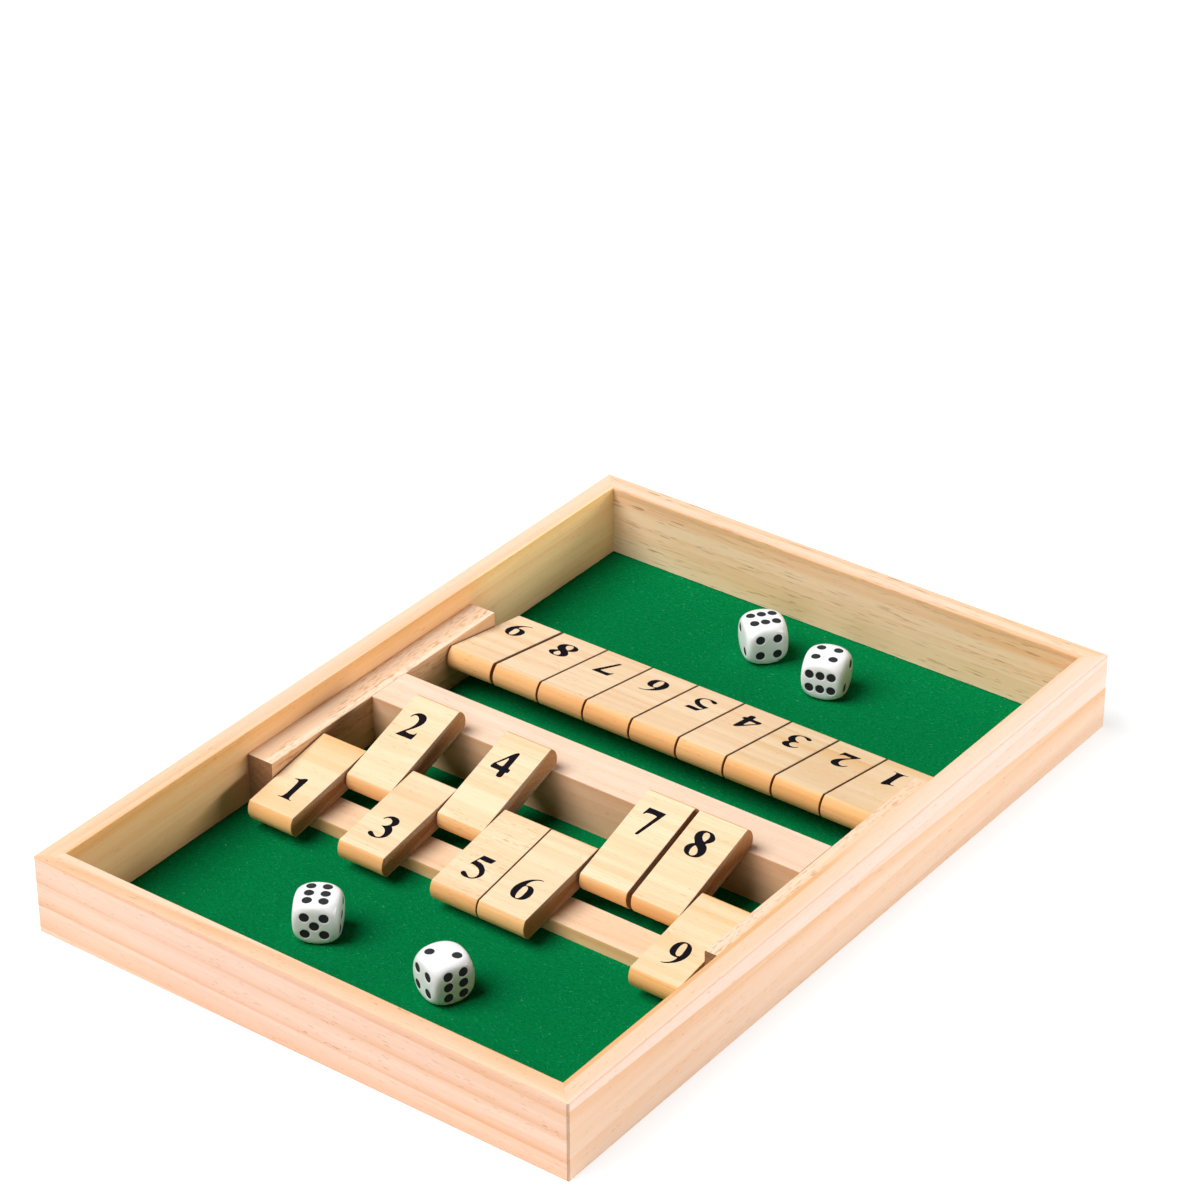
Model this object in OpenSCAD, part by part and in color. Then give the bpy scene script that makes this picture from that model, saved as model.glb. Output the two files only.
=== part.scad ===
// Two-player shut the box game: a mitred pine tray with a dice tray at each
// end and a glued inner frame that carries two rows of numbered flip tiles.
// Origin at the middle of the underside, +X across the box, +Y towards the
// far player, +Z up. Millimetres.

/* [Box] */
// Outside width of the box, across the tile rows
box_w = 220; // [200:1:240]
// Outside length of the box, from player to player
box_l = 317; // [290:1:360]
// Height of the walls
box_h = 30; // [28:0.5:40]
// Thickness of the walls
wall_t = 8; // [6:0.5:10]
// Rounding of the long edges of the walls
wall_ease = 0.6; // [0.4:0.1:2]
// Width of the flat sanded on each upright corner
corner_flat = 1; // [0.5:0.1:3]
// Depth of the rabbet that holds the base panel
rabbet_d = 4; // [2:0.5:5]
// Thickness of the base panel
base_t = 2; // [1.5:0.1:4]
// Gap between the base panel and its rabbet, on each side
base_clear = 0.15; // [0.05:0.05:0.5]
// Thickness of the felt
felt_t = 0.5; // [0.3:0.1:1.5]
// Gap between the felt and the walls
felt_clear = 0.1; // [0:0.05:0.5]

/* [Inner frame] */
// Height of the rod rails and the middle bar above the felt
frame_h = 19.2; // [16:0.2:22]
// Length of the rod rails along the box
frame_l = 124; // [116:1:132]
// How far the inner frame is glued off centre, towards the far player
frame_shift = 1; // [-3:0.5:3]
// Thickness of each rod rail
rail_t = 11; // [8:0.5:14]
// Width of the middle bar
bar_w = 18.8; // [14:0.2:22]
// How far the middle bar is glued from the middle of the inner frame, towards
// the far player
bar_shift = 1.5; // [-3:0.5:3]
// Width of each rest strip
strip_w = 14.4; // [10:0.2:16]
// Thickness of each rest strip
strip_t = 5.1; // [3:0.1:6]
// Chamfer along the top edges of the inner frame
frame_ease = 0.2; // [0.2:0.1:0.8]

/* [Rods] */
// Diameter of each rod
rod_d = 2.6; // [2:0.1:3.2]
// Distance of the near rod from the middle of the inner frame
near_rod_off = 40; // [38:0.5:42]
// Distance of the far rod from the middle of the inner frame
far_rod_off = 41; // [38:0.5:42]
// Depth of each rod's centre below the top of the rod rails
rod_drop = 6.2; // [5:0.1:8]
// Depth of each rod's socket in a rod rail
socket_d = 6; // [4:0.5:7]
// Radial clearance of a rod in its sockets
socket_clear = 0.02; // [0.01:0.01:0.05]
// Gap between a rod's end and the bottom of its socket
rod_end_gap = 0.2; // [0.1:0.1:0.5]

/* [Tiles] */
// Length of a tile over both rounded ends
tile_l = 44; // [41:0.5:45]
// Thickness of a tile
tile_t = 8.5; // [7:0.1:9.5]
// Radius of a tile's rounded ends
nose_r = 5.6; // [5:0.1:8]
// Distance from a tile's rod to its near rounded end
pivot_in = 7.5; // [6:0.1:8]
// Radial clearance of a rod in a tile
bore_clear = 0.08; // [0.04:0.01:0.1]
// Gap between neighbouring tiles that are pushed together
tile_gap = 0.5; // [0.2:0.05:0.6]
// Sideways play that is left over in a whole row
row_play = 2.25; // [1:0.05:4]
// Gap between a resting tile and what it leans on
rest_gap = 0.04; // [0.02:0.01:0.1]

/* [Dice] */
// Edge length of a die
die_s = 16; // [12:0.5:18]
// Radius of the ball that rounds a die's corners, as a share of the edge
die_ball = 0.665; // [0.64:0.005:0.8]
// Diameter of a pip
pip_d = 3.2; // [1.6:0.1:3.2]
// Depth of a pip
pip_h = 0.45; // [0.2:0.05:0.8]
// Distance of a corner pip from the middle of its face, as a share of the edge
pip_out = 0.203; // [0.15:0.001:0.24]
// Half the distance between the two lines of a six, as a share of the edge
six_apart = 0.174; // [0.15:0.001:0.24]
// Distance between the pips along a line of a six, as a share of the edge
six_along = 0.257; // [0.2:0.001:0.28]

/* [Hidden] */
tiles_per_row = 9;
// numbers of the near tiles that have been turned over
near_flipped = [2, 4, 7, 8];
// each die: place across the box, place from the middle of its tray towards
// the far player, turn about the upright, then the turn that picks its face
near_left_die = [-32.3, -1, 29.7, [0, 0, 0]];
near_right_die = [21.7, -2.5, -21.3, [90, 0, 90]];
far_left_die = [-13.2, 15.7, -39.2, [0, 0, 180]];
far_right_die = [19.1, 9.3, 15.6, [0, 90, -90]];
// share of its row's play that lies before each tile, from the left
near_room = [0, 0, 0, 0, 0, 0, 0.25, 0.6, 0.05];
far_room = [0, 0.32, 0.1, 0.1, 0.1, 0.1, 0.1, 0.1, 0.08];
// how far a cut runs out past the surface that it opens
past = 1;
// sides of a drawn circle: a tile's round end or a die's ball, and the rest
outline_fn = 96;
round_fn = 48;

inside_w = box_w - 2 * wall_t;
inside_l = box_l - 2 * wall_t;
floor_z = base_t + felt_t;
frame_top = floor_z + frame_h;
corner_cut = corner_flat / sqrt(2);

row_w = inside_w - 2 * rail_t;
tile_pitch = (row_w - row_play - tile_gap) / tiles_per_row;
tile_w = tile_pitch - tile_gap;
rod_z = frame_top - rod_drop;
near_rod_y = frame_shift - near_rod_off;
far_rod_y = frame_shift + far_rod_off;
rod_len = row_w + 2 * (socket_d - rod_end_gap);

// a tile leans with its underside on one edge: the outer top edge of the
// rest strip when it lies open, the top edge of the middle bar when flipped
lean_t = tile_t / 2 + rest_gap;
to_bar = [near_rod_off + bar_shift - bar_w / 2, rod_drop];
near_open_tilt = open_tilt([frame_l / 2 - near_rod_off, rod_z - floor_z - strip_t]);
far_open_tilt = open_tilt([frame_l / 2 - far_rod_off, rod_z - floor_z - strip_t]);
flipped_tilt = atan2(to_bar.y, to_bar.x) + asin(lean_t / norm(to_bar));

// middle of each dice tray, between the end wall and the rod rails' ends
tray_reach = (inside_l + frame_l) / 4;
near_tray_y = frame_shift / 2 - tray_reach;
far_tray_y = frame_shift / 2 + tray_reach;

// ---- walls and floor

// Section of a wall: x runs in from its outer face, y is up
module wall_section() {
  difference() {
    union() {
      translate([0, wall_ease]) square([wall_t, box_h - 2 * wall_ease]);
      translate([wall_ease, 0]) square([wall_t - 2 * wall_ease, box_h]);
      translate([wall_t / 2, 0]) square([wall_t / 2, wall_t / 2]);
      for (at = [[wall_ease, wall_ease], [wall_ease, box_h - wall_ease],
                 [wall_t - wall_ease, box_h - wall_ease]])
        translate(at) circle(r = wall_ease, $fn = round_fn);
    }
    translate([wall_t - rabbet_d, -past]) square([rabbet_d + past, base_t + past]);
  }
}

// A wall of length len along X, outer face at y = 0, its ends mitred and the
// two upright corners sanded flat
module wall(len) {
  half = len / 2;
  intersection() {
    translate([-half, 0, 0]) rotate([90, 0, 90]) linear_extrude(len) wall_section();
    translate([0, 0, -past]) linear_extrude(box_h + 2 * past)
      polygon([
        [-half + corner_cut, 0], [half - corner_cut, 0],
        [half - corner_cut / 2, corner_cut / 2], [half - wall_t, wall_t],
        [-half + wall_t, wall_t], [-half + corner_cut / 2, corner_cut / 2]
      ]);
  }
}

module front_wall() {
  color("navajowhite") translate([0, -box_l / 2, 0]) wall(box_w);
}

module back_wall() {
  color("navajowhite") rotate([0, 0, 180]) translate([0, -box_l / 2, 0]) wall(box_w);
}

module left_wall() {
  color("navajowhite") rotate([0, 0, -90]) translate([0, -box_w / 2, 0]) wall(box_l);
}

module right_wall() {
  color("navajowhite") rotate([0, 0, 90]) translate([0, -box_w / 2, 0]) wall(box_l);
}

// A flat sheet on the middle of the box, its underside at height z
module sheet(w, l, t, z) {
  translate([-w / 2, -l / 2, z]) cube([w, l, t]);
}

module base_panel() {
  grow = 2 * (rabbet_d - base_clear);
  color("tan") sheet(inside_w + grow, inside_l + grow, base_t, 0);
}

module felt_lining() {
  color("green") sheet(inside_w - 2 * felt_clear, inside_l - 2 * felt_clear, felt_t, base_t);
}

// ---- inner frame

// A strip of length len along X, centred on y = 0, with chamfered top edges
module eased_strip(len, w, h) {
  translate([-len / 2, 0, 0]) rotate([90, 0, 90]) linear_extrude(len)
    polygon([
      [-w / 2, 0], [w / 2, 0], [w / 2, h - frame_ease], [w / 2 - frame_ease, h],
      [-w / 2 + frame_ease, h], [-w / 2, h - frame_ease]
    ]);
}

// The rod rail on the side given by -1 or 1, with a socket for each rod
module rod_rail(side) {
  difference() {
    translate([side * (inside_w - rail_t) / 2, frame_shift, floor_z])
      rotate([0, 0, 90]) eased_strip(frame_l, rail_t, frame_h);
    for (y = [near_rod_y, far_rod_y])
      translate([side * (row_w / 2 + socket_d), y, rod_z]) rotate([0, -side * 90, 0])
        cylinder(r = rod_d / 2 + socket_clear, h = socket_d + past, $fn = round_fn);
  }
}

module left_rod_rail() {
  color("wheat") rod_rail(-1);
}

module right_rod_rail() {
  color("wheat") rod_rail(1);
}

module middle_bar() {
  color("mistyrose") translate([0, frame_shift + bar_shift, floor_z])
    eased_strip(row_w, bar_w, frame_h);
}

// The rest strip at the near (-1) or far (1) end of the inner frame
module rest_strip(side) {
  translate([0, frame_shift + side * (frame_l - strip_w) / 2, floor_z])
    eased_strip(row_w, strip_w, strip_t);
}

module near_rest_strip() {
  color("wheat") rest_strip(-1);
}

module far_rest_strip() {
  color("wheat") rest_strip(1);
}

module rod(y) {
  translate([-rod_len / 2, y, rod_z]) rotate([0, 90, 0])
    cylinder(d = rod_d, h = rod_len, $fn = round_fn);
}

module near_rod() {
  color("silver") rod(near_rod_y);
}

module far_rod() {
  color("silver") rod(far_rod_y);
}

// ---- tiles

// Side outline of a tile: the rod is at the origin and the free end at +x
module tile_outline() {
  first = nose_r - pivot_in;
  last = tile_l - pivot_in - nose_r;
  intersection() {
    translate([-pivot_in, -tile_t / 2]) square([tile_l, tile_t]);
    union() {
      translate([first, -nose_r]) square([last - first, 2 * nose_r]);
      translate([first, 0]) circle(r = nose_r, $fn = outline_fn);
      translate([last, 0]) circle(r = nose_r, $fn = outline_fn);
    }
  }
}

// A tile with its rod along X through the origin, pointing along +Y
module tile_blank() {
  difference() {
    rotate([90, 0, 90]) linear_extrude(tile_w) tile_outline();
    translate([-past, 0, 0]) rotate([0, 90, 0])
      cylinder(r = rod_d / 2 + bore_clear, h = tile_w + 2 * past, $fn = round_fn);
  }
}

// Downward tilt of an open tile, from its rod's place above and inside the
// edge of the rest strip that it leans on
function open_tilt(edge) = atan2(edge.y, edge.x) - asin(lean_t / norm(edge));

// Share of a row's play that lies before the tile in a slot
function room_before(room, slot) = slot < 1 ? 0 : room[slot - 1] + room_before(room, slot - 1);

// Left side of the tile in a slot, counted from the left from 1
function slot_x(room, slot) =
  -row_w / 2 + tile_gap + (slot - 1) * tile_pitch + row_play * room_before(room, slot);

function is_flipped(number) = len([for (n = near_flipped) if (n == number) n]) > 0;

// The near row counts up from the left
module near_tile(number) {
  turn = is_flipped(number) ? flipped_tilt : 180 + near_open_tilt;
  color("burlywood") translate([slot_x(near_room, number), near_rod_y, rod_z])
    rotate([turn, 0, 0]) tile_blank();
}

// The far row counts up from the right, as its own player sees it
module far_tile(number) {
  slot = tiles_per_row + 1 - number;
  color("burlywood") translate([slot_x(far_room, slot), far_rod_y, rod_z])
    rotate([-far_open_tilt, 0, 0]) tile_blank();
}

// ---- dice

// Pips drilled in the face z = die_s / 2, their places as shares of the edge
module pips(places) {
  for (p = places)
    translate([p.x * die_s, p.y * die_s, die_s / 2 - pip_h])
      cylinder(d = pip_d, h = pip_h + past, $fn = round_fn);
}

// A die with 6 up, 5 to the near side, 3 to the right; opposite faces make 7
module die_blank() {
  a = pip_out;
  corners = [[-a, -a], [a, -a], [-a, a], [a, a]];
  six = [for (x = [-six_apart, six_apart], y = [-six_along, 0, six_along]) [x, y]];
  difference() {
    intersection() {
      cube(die_s, center = true);
      sphere(r = die_ball * die_s, $fn = outline_fn);
    }
    pips(six);
    rotate([180, 0, 0]) pips([[0, 0]]);
    rotate([90, 0, 0]) pips([each corners, [0, 0]]);
    rotate([-90, 0, 0]) pips([[-a, a], [a, -a]]);
    rotate([90, 0, 90]) pips([[-a, -a], [0, 0], [a, a]]);
    rotate([90, 0, -90]) pips(corners);
  }
}

module die(place, tray_y) {
  color("white") translate([place[0], tray_y + place[1], floor_z + die_s / 2])
    rotate([0, 0, place[2]]) rotate(place[3]) die_blank();
}

module near_die_left() {
  die(near_left_die, near_tray_y);
}

module near_die_right() {
  die(near_right_die, near_tray_y);
}

module far_die_left() {
  die(far_left_die, far_tray_y);
}

module far_die_right() {
  die(far_right_die, far_tray_y);
}

front_wall();
back_wall();
left_wall();
right_wall();
base_panel();
felt_lining();
left_rod_rail();
right_rod_rail();
middle_bar();
near_rest_strip();
far_rest_strip();
near_rod();
far_rod();
for (n = [1 : tiles_per_row]) near_tile(n);
for (n = [1 : tiles_per_row]) far_tile(n);
near_die_left();
near_die_right();
far_die_left();
far_die_right();
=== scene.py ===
import math

import bmesh
import bpy
import numpy as np
from mathutils import Euler, Matrix, Vector


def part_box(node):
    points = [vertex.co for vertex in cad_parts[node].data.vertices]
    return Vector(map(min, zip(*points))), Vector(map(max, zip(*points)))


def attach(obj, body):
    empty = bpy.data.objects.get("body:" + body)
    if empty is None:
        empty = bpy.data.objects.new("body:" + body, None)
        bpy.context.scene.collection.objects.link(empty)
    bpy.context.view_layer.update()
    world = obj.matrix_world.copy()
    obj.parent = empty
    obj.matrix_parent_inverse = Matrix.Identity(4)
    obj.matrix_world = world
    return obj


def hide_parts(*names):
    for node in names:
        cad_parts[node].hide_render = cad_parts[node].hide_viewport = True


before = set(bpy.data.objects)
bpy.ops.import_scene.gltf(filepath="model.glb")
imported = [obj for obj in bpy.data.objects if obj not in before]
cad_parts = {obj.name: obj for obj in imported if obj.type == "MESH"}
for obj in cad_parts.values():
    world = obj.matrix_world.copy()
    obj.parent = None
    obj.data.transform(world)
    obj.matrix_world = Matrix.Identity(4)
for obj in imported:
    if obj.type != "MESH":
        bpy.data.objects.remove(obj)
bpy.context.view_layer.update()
mm = 0.001
print("frame loaded:", len(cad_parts), "nodes")


# The photograph's camera: where it stands in metres, which way it looks in degrees, and its
# lens and sensor in mm. azimuth turns from +y towards +x, and elevation is how far it looks down
view = {
    "place": (0.6994, -0.9290, 0.7934),
    "azimuth": -36.813,
    "elevation": 31.157,
    "roll": -0.232,
    "lens": 122.48,
    "sensor": 36,
}


def placeCamera(view):
    azimuth, elevation, roll = (math.radians(view[k]) for k in ("azimuth", "elevation", "roll"))
    look = Vector((
        math.sin(azimuth) * math.cos(elevation),
        math.cos(azimuth) * math.cos(elevation),
        -math.sin(elevation),
    ))
    right = Vector((math.cos(azimuth), -math.sin(azimuth), 0))
    up = right.cross(look)
    rolledRight = math.cos(roll) * right + math.sin(roll) * up
    rolledUp = math.cos(roll) * up - math.sin(roll) * right
    camera = bpy.data.objects.new("camera", bpy.data.cameras.new("camera"))
    camera.data.lens = view["lens"]
    camera.data.sensor_width = view["sensor"]
    turn = Matrix((rolledRight, rolledUp, -look)).transposed().to_4x4()
    camera.matrix_world = Matrix.Translation(view["place"]) @ turn
    bpy.context.scene.collection.objects.link(camera)
    bpy.context.scene.camera = camera


placeCamera(view)


class Value:
    # A shader socket that takes part in sums: each operator adds the Math node for it
    def __init__(self, finish, socket):
        self.finish = finish
        self.socket = socket

    def maths(self, operation, *values):
        return self.finish.node("ShaderNodeMath", {"operation": operation}, values)

    def __add__(self, other):
        return self.maths("ADD", self, other)

    def __sub__(self, other):
        return self.maths("SUBTRACT", self, other)

    def __rsub__(self, other):
        return self.maths("SUBTRACT", other, self)

    def __mul__(self, other):
        return self.maths("MULTIPLY", self, other)

    def __truediv__(self, other):
        return self.maths("DIVIDE", self, other)

    def __pow__(self, other):
        return self.maths("POWER", self, other)

    def __abs__(self):
        return self.maths("ABSOLUTE", self)

    __radd__ = __add__
    __rmul__ = __mul__


class Finish:
    # One material. node() adds any node: first its settings, then its sockets' values or links
    def __init__(self, name, constants):
        self.material = bpy.data.materials.new(name)
        self.material.use_nodes = True
        self.tree = self.material.node_tree
        self.shader = self.tree.nodes["Principled BSDF"]
        for socket, value in constants.items():
            self.feed(self.shader.inputs[socket], value)

    def feed(self, socket, value):
        if isinstance(value, Value):
            self.tree.links.new(value.socket, socket)
        elif socket.type == "RGBA":
            socket.default_value = (*value, 1)
        else:
            socket.default_value = value

    def node(self, kind, settings, values, outputs=(0,)):
        made = self.tree.nodes.new(kind)
        for name, value in settings.items():
            if name == "stops":
                ramp = made.color_ramp.elements
                for i, (at, shade) in enumerate(value):
                    stop = ramp[i] if i < len(ramp) else ramp.new(at)
                    stop.position = at
                    stop.color = (shade, shade, shade, 1)
            else:
                setattr(made, name, value)
        for key, value in values.items() if isinstance(values, dict) else enumerate(values):
            self.feed(made.inputs[key], value)
        got = [Value(self, made.outputs[i]) for i in outputs]
        return got[0] if len(got) == 1 else got

    def mix(self, share, first, second):
        sockets = {0: share, 6: first, 7: second}
        return self.node("ShaderNodeMix", {"data_type": "RGBA"}, sockets, (2,))

    # The colour times a factor, where the share is 1: tints, and also painted light and painted shade
    def multiplied(self, share, colour, factor):
        settings = {"data_type": "RGBA", "blend_type": "MULTIPLY"}
        return self.node("ShaderNodeMix", settings, {0: share, 6: colour, 7: factor}, (2,))

    # 0 at low and 1 at high, with a soft change between
    def fade(self, value, low, high):
        settings = {"interpolation_type": "SMOOTHSTEP"}
        return self.node("ShaderNodeMapRange", settings, (value, low, high))

    # Noise with its own number of waves per metre each way, faded in between two of its levels
    def noise(self, place, waves, detail=2.0, roughness=0.5, between=None):
        scaled = self.node("ShaderNodeVectorMath", {"operation": "MULTIPLY"}, (place, waves))
        values = {"Vector": scaled, "Scale": 1.0, "Detail": detail, "Roughness": roughness}
        noise = self.node("ShaderNodeTexNoise", {}, values)
        return self.fade(noise, *between) if between else noise

    # How far a vector points along a direction
    def along(self, vector, direction):
        settings = {"operation": "DOT_PRODUCT"}
        return self.node("ShaderNodeVectorMath", settings, (vector, direction), (1,))

    def give(self, colour, roughness=None, height=None, depth=0.0):
        self.feed(self.shader.inputs["Base Color"], colour)
        if roughness is not None:
            self.feed(self.shader.inputs["Roughness"], roughness)
        if height is not None:
            bump = self.node("ShaderNodeBump", {}, {"Distance": depth, "Height": height})
            self.feed(self.shader.inputs["Normal"], bump)
        return self.material


# Sawn pine. The shares say how much of each mark shows, and the factors multiply the colour;
# the side and eased-edge factors are painted shade, and some patches are painted light and shade
pineWood = {
    "pale": (0.95, 0.74, 0.54),        # the wood between the rings
    "late": (0.83, 0.45, 0.21),        # the late wood of a ring
    "dash": (0.60, 0.30, 0.14),        # the short resin dashes
    "end": (0.32, 0.15, 0.08),         # the sawn ends
    "tint": (0.95, 0.69, 0.53),        # the clouds
    "side": (0.92, 0.78, 0.56),        # painted shade on a wall's inner face or an inner piece's sides; on a tile, its nose's own colour
    "arrisShade": (0.95, 0.86, 0.76),       # painted shade on the eased long edges, against the bright line of light they catch
    "ring": 5.5 * mm,                  # distance between two rings
    "wander": 3 * mm,                  # how far noise moves a ring
    "strength": 0.5,
    "bands": 0.35,
    "clouds": 0.4,
    "fibres": 0.30,
    "dashes": 0.5,
    "dashWaves": (300, 1900, 1900),    # dashes per metre along, across and up
    "dashFrom": 0.66,                  # noise level where a dash starts
    "clusters": 0.5,                   # share of the dashes that keeps to the clusters
    "along": "x",
    "inner": False,
    "middle": (0.0, 0.0, 0.0),
    "pith": (0.02, -0.05),             # the log's middle from the piece's own, across and up
    "tilt": (0.0, 0.0),                # degrees that the grain runs off the piece's length
    "patches": (),                     # factors, each inside slanted planes; some are painted light and painted shade
    "roughness": 0.5,
}

# The noises behind the grain: waves per metre along, across and up the log, and the levels
# between which a noise comes in
grainNoises = {
    "bend": {"waves": (7, 45, 45)},
    "bow": {"waves": (14, 150, 150)},
    "uneven": {"waves": (5, 60, 60), "detail": 1.0, "between": (0.35, 0.70)},
    "band": {"waves": (3, 200, 200), "detail": 3.0, "between": (0.40, 0.62)},
    "cloud": {"waves": (11, 30, 30), "between": (0.40, 0.72)},
    "fibre": {"waves": (60, 2600, 2600), "detail": 3.0, "roughness": 0.65},
    "cluster": {"waves": (28, 110, 110), "detail": 1.0, "between": (0.42, 0.58)},
}

# How dark a ring is on its way outwards: early wood darkens slowly into late wood, then drops
ringShade = [(0.0, 0.10), (0.45, 0.16), (0.80, 0.62), (0.93, 1.0), (1.0, 0.10)]

# How every piece of pine is finished, whatever its grain
pineSurface = {
    "bowShare": 0.12,                  # small bends of a ring, as a share of its wander
    "ringLeast": 0.55,                 # strength of the faintest stretch of a ring
    "fibreLevels": (0.42, 0.75),       # noise levels between which a fibre darkens
    "dashSoft": 0.07,                  # noise level from a dash's edge to its full colour
    "sawn": (0.6, 0.8),                # part of the normal along the grain, where an end begins
    "sawnShare": 0.85,
    "endLate": 0.75,                   # share of the rings in an end's marks, the rest is fibre
    "endDark": 0.62,                   # the marks' colour, as a share of the end's
    "endPale": 0.35,
    "endLevels": (0.35, 0.75),         # noise levels between which an end shows pale fibres
    "sideFrom": (0.8, 0.5),            # part of the normal upwards, where a side's painted shade begins
    "inward": (0.0, -0.002),           # place times normal, below 0 where a wall looks inwards and takes painted shade
    "arrisFrom": (0.05, 0.3),          # part of the normal upwards, where an eased edge's painted shade begins
    "arrisTo": (0.97, 0.8),            # and where the flat top begins
    "rough": (0.10, 0.2),              # roughness added by fibre and by a sawn end
    "relief": (0.6, 0.3, 0.2),         # height of fibre, dashes and late wood
    "depth": 0.04 * mm,
}


# Where a point lies in its board (along, across, up), which way its face looks there, and how
# much painted shade it takes as a side or inner face (on a tile, how much of its nose colour):
# a tile brings these along, a fixed piece has them worked out
def pineFrame(finish, wood, attribute):
    if attribute:
        place = finish.node("ShaderNodeAttribute", {"attribute_name": attribute}, {}, (1,))
        facing = finish.node("ShaderNodeTexCoord", {}, {}, (1,))
        return place, facing, finish.node("ShaderNodeAttribute", {"attribute_name": "nose"}, {}, (2,))
    spot, normal = finish.node("ShaderNodeTexCoord", {}, {}, (3, 1))
    place = finish.node("ShaderNodeVectorMath", {"operation": "SUBTRACT"}, (spot, wood["middle"]))
    quarter = (0, 0, -math.pi / 2 if wood["along"] == "y" else 0)
    place = finish.node("ShaderNodeMapping", {}, {"Vector": place, "Rotation": quarter})
    facing = finish.node("ShaderNodeMapping", {}, {"Vector": normal, "Rotation": quarter})
    if wood["inner"]:
        faceUp = finish.node("ShaderNodeSeparateXYZ", {}, (facing,), (2,))
        return place, facing, finish.fade(abs(faceUp), *pineSurface["sideFrom"])
    return place, facing, finish.fade(finish.along(spot, normal), *pineSurface["inward"])


# A fixed piece's place in its log, so that the pith lies along the first axis
def inLog(finish, wood, place):
    across, up = wood["pith"]
    tilt = (0, *(math.radians(degrees) for degrees in wood["tilt"]))
    values = {"Vector": place, "Location": (0, -across, -up), "Rotation": tilt}
    return finish.node("ShaderNodeMapping", {}, values)


# Rings are the distance from the pith, bent by noise, divided by the ring distance; the
# fraction of that goes through ringShade
def lateWood(finish, wood, place, noises):
    bend, bow = noises["bend"] - 0.5, noises["bow"] - 0.5
    sideways, upwards = finish.node("ShaderNodeSeparateXYZ", {}, (place,), (1, 2))
    reach = (sideways * sideways + upwards * upwards) ** 0.5
    bent = reach + bend * wood["wander"] + bow * (pineSurface["bowShare"] * wood["wander"])
    rings = bent / wood["ring"]
    turn = rings.maths("FRACT", rings)
    return finish.node("ShaderNodeValToRGB", {"stops": ringShade}, (turn,))


# The colour goes on in layers: rings, bands, clouds, fibres, dashes, patches, ends, sides in
# painted shade, edges in painted shade
def pine(name, changes, attribute=None):
    wood = {**pineWood, **changes}
    look = pineSurface
    finish = Finish(name, {"IOR": 1.45, "Specular IOR Level": 0.2})
    board, facing, side = pineFrame(finish, wood, attribute)
    place = board if attribute else inLog(finish, wood, board)
    noises = {kind: finish.noise(place, **settings) for kind, settings in grainNoises.items()}
    late, fibre = lateWood(finish, wood, place, noises), noises["fibre"]

    drawn = look["ringLeast"] + (1 - look["ringLeast"]) * noises["uneven"]
    colour = finish.mix(late * drawn * wood["strength"], wood["pale"], wood["late"])
    colour = finish.mix(wood["bands"] * noises["band"], colour, wood["late"])
    colour = finish.mix(wood["clouds"] * noises["cloud"], colour, wood["tint"])
    fibres = finish.fade(fibre, *look["fibreLevels"])
    colour = finish.mix(wood["fibres"] * fibres, colour, wood["late"])
    levels = (wood["dashFrom"], wood["dashFrom"] + look["dashSoft"])
    dash = finish.noise(place, wood["dashWaves"], 1.0, between=levels) * (0.5 + 0.5 * late)
    dash = dash * (1 - wood["clusters"] + wood["clusters"] * noises["cluster"])
    colour = finish.mix(wood["dashes"] * dash, colour, wood["dash"])

    for factor, *planes in wood["patches"]:
        inside = 1.0
        for slope, low, high in planes:
            inside = inside * finish.fade(finish.along(board, slope), low * mm, high * mm)
        colour = finish.multiplied(inside, colour, factor)

    endwise, faceUp = finish.node("ShaderNodeSeparateXYZ", {}, (facing,), (0, 2))
    sawn = finish.fade(abs(endwise), *look["sawn"])
    marks = look["endLate"] * late + (1 - look["endLate"]) * fibre
    endColour = finish.mix(marks, wood["end"], tuple(look["endDark"] * c for c in wood["end"]))
    endFibres = finish.fade(fibre, *look["endLevels"]) * look["endPale"]
    endColour = finish.mix(endFibres, endColour, wood["pale"])
    colour = finish.mix(look["sawnShare"] * sawn, colour, endColour)

    # Sides and inner faces are darkened as painted shade; a tile's nose takes its own colour here
    colour = finish.multiplied(side, colour, wood["side"])
    if not attribute:
        # Painted shade on the eased long edges, which would otherwise catch a bright line of light
        eased = finish.fade(abs(faceUp), *look["arrisFrom"]) * finish.fade(abs(faceUp), *look["arrisTo"])
        colour = finish.multiplied(eased, colour, wood["arrisShade"])
    fibreRough, sawnRough = look["rough"]
    roughness = wood["roughness"] + fibreRough * fibre + sawnRough * sawn
    fibreHigh, dashDeep, lateDeep = look["relief"]
    height = fibreHigh * fibre - dashDeep * dash - lateDeep * late
    return finish.give(colour, roughness, height, look["depth"])
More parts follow.
